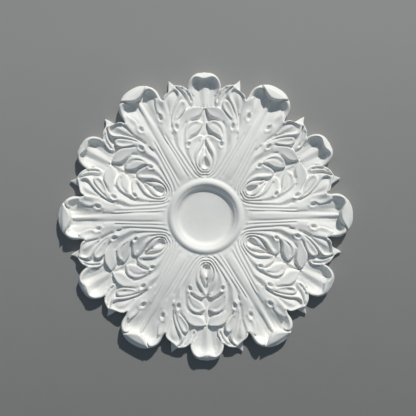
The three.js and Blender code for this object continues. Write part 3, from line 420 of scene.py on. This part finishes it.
def in_loop(u, v, loop):
    """Whether each place is inside a loop."""
    within = np.zeros(u.shape, bool)
    ends = np.asarray(loop, float)[:, :2]
    for (ui, vi), (uj, vj) in zip(ends, np.roll(ends, 1, axis=0)):
        if vi != vj:
            within ^= ((vi > v) != (vj > v)) & (u < (uj - ui) * (v - vi) / (vj - vi) + ui)
    return within


def from_short_axis(path):
    """A path given across and along the short petal's axis, as u and v."""
    across, along = path[:, 0], path[:, 1]
    u = along * math.sin(HALF_SECTOR) - across * math.cos(HALF_SECTOR)
    v = along * math.cos(HALF_SECTOR) + across * math.sin(HALF_SECTOR)
    return np.column_stack([u, v, path[:, 2]])


# The lines as paths, in u across and v along the long petal's axis
OUTLINE_PATHS = [smooth_line(stretch) for stretch in OUTLINE_STRETCHES]
PATHS = [smooth_line(stations) for stations in LINES.values()]
PATHS += [from_short_axis(smooth_line(stations)) for stations in SHORT_LINES.values()]


def neighbour_sum(heights):
    """Sum of each grid node's four neighbours, mirrored at the grid's edges."""
    padded = np.pad(heights, 1, mode="reflect")
    return padded[2:, 1:-1] + padded[:-2, 1:-1] + padded[1:-1, 2:] + padded[1:-1, :-2]


class Sheet:
    """A skin stretched over the lines, on a grid of bearings and logarithms of the radius."""

    def __init__(self):
        self.step = HALF_SECTOR / GRID_ACROSS
        block = 2 ** (GRID_LEVELS - 1)
        rings = math.log(GRID_OUTER_RADIUS / RING_FOOT_RADIUS) / self.step
        self.rings = int(math.ceil(rings / block)) * block
        self.heights = self.rounded(self.stretched())
        self.mean = self.blurred()

    def place(self, u, v, stride=1):
        ring = np.log(np.hypot(u, v) / RING_FOOT_RADIUS) / (self.step * stride)
        return ring, np.arctan2(u, v) / (self.step * stride)

    def pins(self, stride):
        """Pull and height of the lines on the grid's nodes."""
        shape = (self.rings // stride + 1, GRID_ACROSS // stride + 1)
        last_ring, last_turn = shape[0] - 1, shape[1] - 1
        pull, sums = np.zeros(shape), np.zeros(shape)
        for path in PATHS + OUTLINE_PATHS:
            dots = resample(path, PIN_STEP)
            ring, turn = self.place(dots[:, 0], dots[:, 1], stride)
            fits = (ring >= 0) & (ring <= last_ring)
            fits &= (turn >= -GRID_TOLERANCE) & (turn <= last_turn + GRID_TOLERANCE)
            ring, turn, height = ring[fits], np.clip(turn[fits], 0, last_turn), dots[fits, 2]
            i, j = np.minimum(ring.astype(int), last_ring - 1), np.minimum(turn.astype(int), last_turn - 1)
            fi, fj = ring - i, turn - j
            for di, wi in ((0, 1 - fi), (1, fi)):
                for dj, wj in ((0, 1 - fj), (1, fj)):
                    np.add.at(pull, (i + di, j + dj), wi * wj)
                    np.add.at(sums, (i + di, j + dj), wi * wj * height)
        height = np.divide(sums, pull, out=np.zeros(shape), where=pull > 0)
        return np.clip(pull, 0, 1) * LINE_PULL, height

    def stretched(self):
        """Heights of the skin, found on ever finer grids by over-relaxation."""
        heights = None
        for level in reversed(range(GRID_LEVELS)):
            pull, pinned = self.pins(2**level)
            if heights is None:
                heights = np.full(pull.shape, FIRST_HEIGHT)
            else:
                finer = np.empty(pull.shape)
                finer[::2, ::2] = heights
                finer[1::2, ::2] = (heights[:-1] + heights[1:]) / 2
                finer[:, 1::2] = (finer[:, :-1:2] + finer[:, 2::2]) / 2
                heights = finer
            heights[0] = RING_FOOT_HEIGHT
            odd = np.add.outer(np.arange(pull.shape[0]), np.arange(pull.shape[1])) % 2 == 1
            even = ~odd
            odd[0] = even[0] = False
            for _ in range(GRID_SWEEPS):
                for mask in (odd, even):
                    target = (neighbour_sum(heights) + pull * pinned) / (4 + pull)
                    heights = np.where(mask, heights + OVER_RELAXATION * (target - heights), heights)
        return heights

    def rounded(self, heights):
        """The skin with its folds rounded over the same distance everywhere."""
        radii = RING_FOOT_RADIUS * np.exp(self.step * np.arange(len(heights)))
        spread = (ROUNDING / (radii * self.step)) ** 2 / 2
        passes = int(np.ceil(spread.max() / ROUNDING_PER_PASS))
        for _ in range(passes):
            heights = heights + (spread / passes)[:, None] * (neighbour_sum(heights) - 4 * heights)
        return heights

    def blurred(self):
        """The sheet without its fine carving: a bell-shaped mean over the grid."""
        reach = np.arange(-CARVING_SPAN, CARVING_SPAN + 1)
        weights = np.exp(-0.5 * (reach / CARVING_REACH) ** 2)
        weights /= weights.sum()
        mean = self.heights
        for _ in range(2):
            padded = np.pad(mean, ((CARVING_SPAN, CARVING_SPAN), (0, 0)), mode="reflect")
            mean = sum(weight * padded[k:k + len(mean)] for k, weight in enumerate(weights)).T
        return mean

    def sample(self, heights, u, v):
        """Height between the grid's nodes, of the sheet or of its mean."""
        ring, turn = self.place(u, v)
        ring = np.clip(ring, 0, self.rings - GRID_TOLERANCE)
        turn = np.clip(np.abs(turn), 0, GRID_ACROSS - GRID_TOLERANCE)
        i, j = ring.astype(int), turn.astype(int)
        fi, fj = ring - i, turn - j
        low = heights[i, j] * (1 - fj) + heights[i, j + 1] * fj
        high = heights[i + 1, j] * (1 - fj) + heights[i + 1, j + 1] * fj
        return low * (1 - fi) + high * fi

    def carved(self, u, v, height):
        """Heights of the sheet with its ridges and grooves deepened."""
        carving = CARVING_LIMIT * np.tanh((height - self.sample(self.mean, u, v)) / CARVING_LIMIT)
        return np.minimum(height + np.where(carving < 0, GROOVE_BOOST, RIDGE_BOOST) * carving, TALLEST)


def eye_height(eye, u, v):
    """Depth of a drilled eye and height of the collar round it."""
    centre_u, centre_v, half_width, half_length, lean, depth, collar_height = eye
    lean = math.radians(lean)
    across = (u - centre_u) * math.cos(lean) - (v - centre_v) * math.sin(lean)
    along = (u - centre_u) * math.sin(lean) + (v - centre_v) * math.cos(lean)
    q = np.hypot(across / half_width, along / half_length)
    collar = np.exp(-(((q - EYE_COLLAR_PLACE) / EYE_COLLAR_WIDTH) ** 2))
    scoop = 1 - EYE_SCOOP * np.clip(along / half_length, -1, 1)
    return collar_height * collar - depth * scoop * (1 - ease(EYE_FLAT_SHARE, 1, q))


def teardrop_height(along, across):
    """Depth of the drop-shaped hollow."""
    first, last = TEARDROP_WIDTHS[0][0], TEARDROP_WIDTHS[-1][0]
    width = smooth_table(TEARDROP_WIDTHS, along)
    q = np.clip(np.abs(across) / width, 0, 1)
    reach = np.where(along < TEARDROP_CENTRE, TEARDROP_CENTRE - first, last - TEARDROP_CENTRE)
    s = np.clip(((along - TEARDROP_CENTRE) / reach) ** 2, 0, 1)
    depth = TEARDROP_DEPTH * (1 - q * q) ** TEARDROP_SECTION * (1 - s) ** TEARDROP_LENGTHWAYS
    return -np.where((along > first) & (along < last) & (q < 1), depth, 0)


def face_height(u, v, height):
    """Height of the ornament above the back, in parts, from the height of the carved sheet."""
    r = np.hypot(u, v)
    bearing = np.arctan2(u, v)
    for eye in EYES:
        height = height + eye_height(eye, u, v)
    along = r * np.cos(bearing - HALF_SECTOR)
    across = r * np.sin(bearing - HALF_SECTOR)
    height = height + teardrop_height(along, across)
    ring = smooth_table(RING_PROFILE, r)
    return np.minimum(np.where(r < RING_FOOT_RADIUS, ring, height), TALLEST)


def eye_line(eye, share):
    """An ellipse round an eye, at a share of its half width and half length."""
    centre_u, centre_v, half_width, half_length, lean = eye[:5]
    turn = np.linspace(0, 2 * math.pi, EYE_LINE_POINTS)
    lean = math.radians(lean)
    across, along = half_width * share * np.cos(turn), half_length * share * np.sin(turn)
    u = centre_u + across * math.cos(lean) + along * math.sin(lean)
    v = centre_v - across * math.sin(lean) + along * math.cos(lean)
    return np.stack([u, v], axis=1)


def hollow_lines():
    """Rims of the drop-shaped hollow and the eyes."""
    teardrop = smooth_line([(width, along, 0) for along, width in TEARDROP_WIDTHS])
    yield from_short_axis(teardrop)[:, :2]
    for eye in EYES:
        for share in EYE_LINE_SHARES:
            yield eye_line(eye, share)


def flank_points():
    """Points halfway between neighbouring lines, so that a narrow rib or groove has flanks."""
    lines = [resample(path, LINE_STEP)[:, :2] for path in PATHS]
    for i, line in enumerate(lines):
        others = np.concatenate(lines[:i] + lines[i + 1:])
        heading = np.gradient(line, axis=0)
        for side in (1, -1):
            gaps = others[None] - line[:, None]
            reach = np.hypot(gaps[..., 0], gaps[..., 1])
            beside = side * (heading[:, None, 0] * gaps[..., 1] - heading[:, None, 1] * gaps[..., 0])
            reach = np.where(beside > FLANK_BESIDE * reach, reach, np.inf)
            nearest = reach.argmin(axis=1)
            width = reach[np.arange(len(line)), nearest]
            fits = (width > FLANK_GAPS[0]) & (width < FLANK_GAPS[1])
            yield (line[fits] + others[nearest[fits]]) / 2


def sector_loop():
    """The half sector's boundary: the rim from the long to the short tip, and the closed loop."""
    stretches = [resample(path, LINE_STEP)[:-1] for path in OUTLINE_PATHS]
    rim = np.concatenate(stretches + [OUTLINE_PATHS[-1][-1:]])
    shares = np.linspace(0, 1, int(PARTS_TO_TIP / LINE_STEP))[1:-1]
    short_axis = rim[-1, :2] * shares[:, None]
    long_axis = rim[0, :2] * shares[::-1, None]
    return rim, np.concatenate([[(0, 0)], short_axis, rim[::-1, :2], long_axis])


class FacePoints:
    """Points and edges of the face inside a loop. Points keep their distance, found through cells."""

    def __init__(self, loop):
        self.loop = loop
        self.border = np.concatenate([loop, loop[:1]])
        self.points = []
        self.cells = {}
        self.heights = {}
        for u, v in loop:
            self.add(u, v)
        self.edges = [(i, (i + 1) % len(loop)) for i in range(len(loop))]

    def cell(self, u, v):
        return int(u // CELL_SIZE), int(v // CELL_SIZE)

    def near(self, u, v, gap):
        """Whether a point is closer than the gap."""
        cu, cv = self.cell(u, v)
        for iu in range(cu - 1, cu + 2):
            for iv in range(cv - 1, cv + 2):
                for pu, pv in self.cells.get((iu, iv), ()):
                    if (pu - u) ** 2 + (pv - v) ** 2 < gap * gap:
                        return True
        return False

    def add(self, u, v):
        self.points.append((float(u), float(v)))
        self.cells.setdefault(self.cell(u, v), []).append(self.points[-1])
        return len(self.points) - 1

    def offer(self, path, gap, join=True):
        """Take a path's points where there is room, with their heights, joined by edges."""
        fits = line_distance(path[:, 0], path[:, 1], self.border) > BORDER_CLEARANCE
        fits &= in_loop(path[:, 0], path[:, 1], self.loop)
        before = None
        for place, fit in zip(path, fits):
            if not fit or self.near(*place[:2], gap):
                before = None
                continue
            index = self.add(*place[:2])
            if len(place) > 2:
                self.heights[index] = place[2]
            if join and before is not None:
                self.edges.append((before, index))
            before = index


def fill_rows():
    """Rows of points over the open fields, outside the ring."""
    rows = np.arange(DISC_RADIUS, PARTS_TO_TIP, FILL_STEP * math.sqrt(0.75))
    for row, v in enumerate(rows):
        us = np.arange(0.5 * FILL_STEP * (row % 2), SHORT_TIP / 2, FILL_STEP)
        grid = np.stack([us, np.full(len(us), v)], axis=1)
        yield grid[np.hypot(*grid.T) > FILL_FROM_RADIUS]


def triangulate_sector():
    """Places (u, v), heights, triangles and rim of the half sector's face."""
    rim, loop = sector_loop()
    face = FacePoints(loop)
    for radius in RING_LINE_RADII:
        steps = max(int(round(radius * HALF_SECTOR / RING_LINE_STEP)), RING_LINE_FEWEST)
        bearings = np.linspace(0, HALF_SECTOR, steps + 1)[1:-1]
        face.offer(radius * np.stack([np.sin(bearings), np.cos(bearings)], axis=1), RING_LINE_CLEARANCE)
    for path in [*hollow_lines(), *PATHS]:
        face.offer(resample(path, LINE_STEP), LINE_CLEARANCE)
    for flank in flank_points():
        face.offer(flank, FLANK_CLEARANCE, join=False)
    for row in fill_rows():
        face.offer(row, FILL_CLEARANCE, join=False)

    places = [Vector(place) for place in face.points]
    points, _, triangles, sources, *_ = delaunay_2d_cdt(places, face.edges, [], 1, SAME_PLACE)
    flat = np.array([tuple(place) for place in points])
    u, v = flat[:, 0], flat[:, 1]
    sheet = Sheet()
    drawn = np.array([face.heights.get(source[0], np.nan) if source else np.nan for source in sources])
    height = np.where(np.isnan(drawn), sheet.sample(sheet.heights, u, v), drawn)
    height = face_height(u, v, sheet.carved(u, v, height))
    return flat, height, [tuple(triangle) for triangle in triangles], rim


def half_sector():
    """Vertices, in parts, and faces of the half sector: face, wall and back."""
    flat, height, faces, rim = triangulate_sector()
    verts = np.column_stack([flat, height])
    rim_index = [int(np.argmin(np.hypot(*(flat - point[:2]).T))) for point in rim]
    edge = rim[:, 2]
    verts[rim_index, 2] = edge

    rows = [rim_index]
    for pull, share in RIM_WALL + [(ring * BACK_TUCK, 0.0) for ring in BACK_RINGS]:
        first = len(verts)
        verts = np.concatenate([verts, np.column_stack([rim[:, :2] * pull, edge * share])])
        rows.append(list(range(first, len(verts))))
    centre = len(verts)
    verts = np.concatenate([verts, [(0, 0, 0)]])
    for upper, lower in zip(rows, rows[1:]):
        for i in range(len(rim) - 1):
            faces.append((upper[i], upper[i + 1], lower[i + 1], lower[i]))
    faces += [(rows[-1][i], rows[-1][i + 1], centre) for i in range(len(rim) - 1)]
    return verts, faces


def rose_mesh():
    """Every vertex, in metres, and face of the rose: the half sector, mirrored and turned."""
    half, half_faces = half_sector()
    verts = []
    faces = []
    for pair in range(PETAL_PAIRS):
        bearing = pair * 2 * HALF_SECTOR
        c, s = math.cos(bearing), math.sin(bearing)
        for mirror in (1, -1):
            start = len(verts)
            u, v, height = mirror * half[:, 0], half[:, 1], half[:, 2]
            verts += np.column_stack([v * c - u * s, v * s + u * c, height]).tolist()
            faces += [[start + i for i in face[::-mirror]] for face in half_faces]
    return np.array(verts) * PART, faces


def make_casting():
    verts, faces = rose_mesh()
    mesh = bpy.data.meshes.new("rose_casting")
    mesh.from_pydata(verts.tolist(), [], faces)
    casting = bpy.data.objects.new("rose_casting", mesh)
    bpy.context.collection.objects.link(casting)
    work = bmesh.new()
    work.from_mesh(mesh)
    bmesh.ops.remove_doubles(work, verts=work.verts, dist=WELD_METRES)
    bmesh.ops.recalc_face_normals(work, faces=work.faces)
    work.to_mesh(mesh)
    work.free()
    mesh.shade_smooth()
    return casting


def node_material(name, roughness):
    material = bpy.data.materials.new(name)
    material.use_nodes = True
    shader = material.node_tree.nodes["Principled BSDF"]
    shader.inputs["Roughness"].default_value = roughness
    return material, material.node_tree.nodes, material.node_tree.links, shader


def noise(nodes, links, place, scale, detail):
    texture = nodes.new("ShaderNodeTexNoise")
    texture.inputs["Scale"].default_value = scale
    texture.inputs["Detail"].default_value = detail
    links.new(place, texture.inputs["Vector"])
    return texture.outputs["Fac"]


def multiply_add(nodes, links, value, factor, added):
    """The value times a factor, and another value added."""
    total = nodes.new("ShaderNodeMath")
    total.operation = "MULTIPLY_ADD"
    total.inputs[1].default_value = factor
    links.new(value, total.inputs[0])
    links.new(added, total.inputs[2])
    return total.outputs["Value"]


def tone(nodes, links, share, colours, span=(0.0, 1.0)):
    """A colour between two, where the share runs over the span."""
    ramp = nodes.new("ShaderNodeValToRGB")
    for stop, place, colour in zip(ramp.color_ramp.elements, span, colours):
        stop.position = place
        stop.color = (*colour, 1)
    links.new(share, ramp.inputs["Fac"])
    return ramp.outputs["Color"]


def plaster_material():
    """White matt plaster: faint clouds of tone, a slight swell and a fine grain."""
    material, nodes, links, shader = node_material("white_plaster", PLASTER_ROUGHNESS)
    shader.inputs["Specular IOR Level"].default_value = PLASTER_SPECULAR
    place = nodes.new("ShaderNodeTexCoord").outputs["Object"]
    clouds = noise(nodes, links, place, CLOUD_SCALE, CLOUD_DETAIL)
    colour = tone(nodes, links, clouds, (PLASTER_DARK, PLASTER_LIGHT), CLOUD_SPAN)
    links.new(colour, shader.inputs["Base Color"])
    grain = noise(nodes, links, place, GRAIN_SCALE, GRAIN_DETAIL)
    swell = noise(nodes, links, place, SWELL_SCALE, SWELL_DETAIL)
    bump = nodes.new("ShaderNodeBump")
    bump.inputs["Strength"].default_value = BUMP_STRENGTH
    bump.inputs["Distance"].default_value = BUMP_METRES
    links.new(multiply_add(nodes, links, swell, SWELL_SHARE, grain), bump.inputs["Height"])
    links.new(bump.outputs["Normal"], shader.inputs["Normal"])
    return material


def floor_material():
    """Grey floor with painted light: it grows a little lighter along Y in place of the key light's fall,
    with faint clouds.
    """
    material, nodes, links, shader = node_material("grey_floor_painted_light", FLOOR_ROUGHNESS)
    place = nodes.new("ShaderNodeTexCoord").outputs["Object"]
    along = nodes.new("ShaderNodeSeparateXYZ")
    links.new(place, along.inputs["Vector"])
    # Painted light: the grey runs from darker at -Y to lighter at +Y over the reach
    painted_light_fade = nodes.new("ShaderNodeMapRange")
    painted_light_fade.inputs["From Min"].default_value = -FLOOR_PAINTED_LIGHT_REACH
    painted_light_fade.inputs["From Max"].default_value = FLOOR_PAINTED_LIGHT_REACH
    links.new(along.outputs["Y"], painted_light_fade.inputs["Value"])
    clouds = noise(nodes, links, place, FLOOR_CLOUD_SCALE, FLOOR_CLOUD_DETAIL)
    # Faint clouds of tone laid over the painted light
    share = multiply_add(nodes, links, clouds, FLOOR_CLOUD_SHARE, painted_light_fade.outputs["Result"])
    links.new(tone(nodes, links, share, (FLOOR_GREY_PAINTED_SHADE, FLOOR_GREY_PAINTED_LIGHT)), shader.inputs["Base Color"])
    return material


def make_floor():
    bpy.ops.mesh.primitive_plane_add(size=FLOOR_SIZE, location=(0, 0, NODE_LOW[2]))
    floor = bpy.context.object
    floor.name = "floor"
    floor.data.materials.append(floor_material())


def make_lights():
    """A key light from the top of the picture, a little to the right, and an even sky."""
    sun = bpy.data.objects.new("key_light", bpy.data.lights.new("key_light", "SUN"))
    sun.data.energy = SUN_STRENGTH
    sun.data.angle = SUN_ANGLE
    sun.data.color = SUN_COLOUR
    towards = Vector((
        math.cos(SUN_BEARING) * math.cos(SUN_HEIGHT),
        math.sin(SUN_BEARING) * math.cos(SUN_HEIGHT),
        math.sin(SUN_HEIGHT),
    ))
    sun.rotation_euler = towards.to_track_quat("Z", "Y").to_euler()
    bpy.context.collection.objects.link(sun)
    world = bpy.data.worlds.new("sky")
    world.use_nodes = True
    background = world.node_tree.nodes["Background"]
    background.inputs["Color"].default_value = (*SKY_COLOUR, 1)
    background.inputs["Strength"].default_value = SKY_STRENGTH
    bpy.context.scene.world = world


def make_camera():
    """Straight down, with the rose where the photograph has it."""
    width = (NODE_HIGH[0] - NODE_LOW[0]) * IMAGE_PIXELS / PHOTO_SPAN_PIXELS
    pixel = width / IMAGE_PIXELS
    camera = bpy.data.objects.new("camera", bpy.data.cameras.new("camera"))
    camera.data.lens = LENS_MM
    camera.data.sensor_width = SENSOR_MM
    camera.location = (
        (IMAGE_PIXELS / 2 - PHOTO_CENTRE[0]) * pixel,
        (PHOTO_CENTRE[1] - IMAGE_PIXELS / 2) * pixel,
        width * LENS_MM / SENSOR_MM + (NODE_LOW[2] + NODE_HIGH[2]) / 2,
    )
    camera.rotation_euler = (0, 0, -PHOTO_ROLL)
    bpy.context.collection.objects.link(camera)
    bpy.context.scene.camera = camera
    bpy.context.scene.view_settings.view_transform = "Standard"


casting = make_casting()
casting.data.materials.append(plaster_material())
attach(casting, "root")
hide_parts(NODE)
make_floor()
make_lights()
make_camera()
